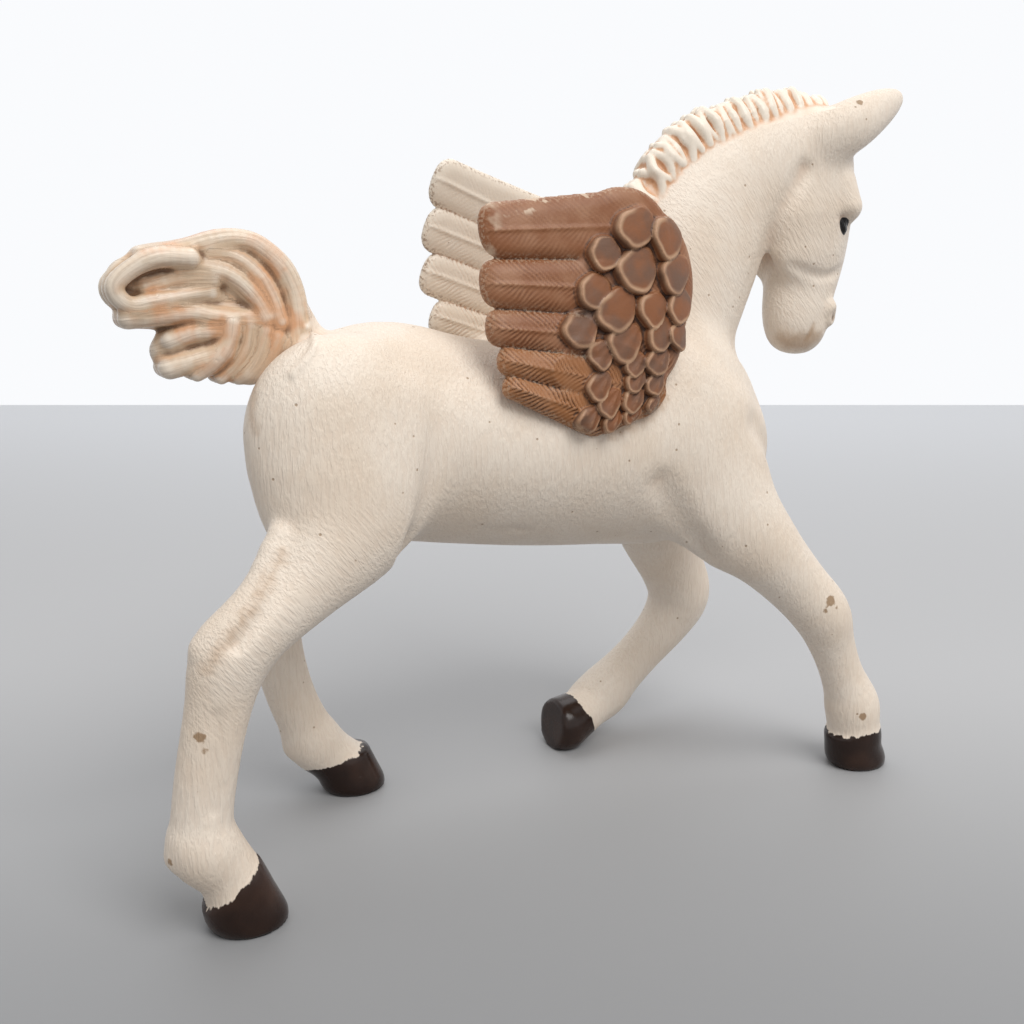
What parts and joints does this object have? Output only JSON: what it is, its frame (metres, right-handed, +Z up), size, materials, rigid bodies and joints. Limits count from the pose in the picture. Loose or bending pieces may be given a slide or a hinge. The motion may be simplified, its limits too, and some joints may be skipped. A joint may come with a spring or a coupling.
{
  "type": "pegasus figurine",
  "caption": "Small painted pegasus foal figurine, walking with one foreleg raised, short upright mane, flipped-up tail and feathered wings seated in its flanks.",
  "frame": {"origin": "middle of the figure's box, on the ground that the hooves stand on", "axes": "+X towards the horse's head, +Y to the horse's left, +Z up"},
  "size_m": [0.0972, 0.0312, 0.0865],
  "materials": {
    "cream_paint": "satin paint on moulded plastic, with pearl mane and tail and dark brown hooves",
    "brown_feather_paint": "brown paint wiped back to tan on the raised feathers",
    "pearl_feather_paint": "pearl cream paint with a peach wash in the recesses"
  },
  "bodies": {
    "root": {"body": "cream_paint", "wing_right": "brown_feather_paint", "wing_left": "pearl_feather_paint"}
  },
  "joints": []
}
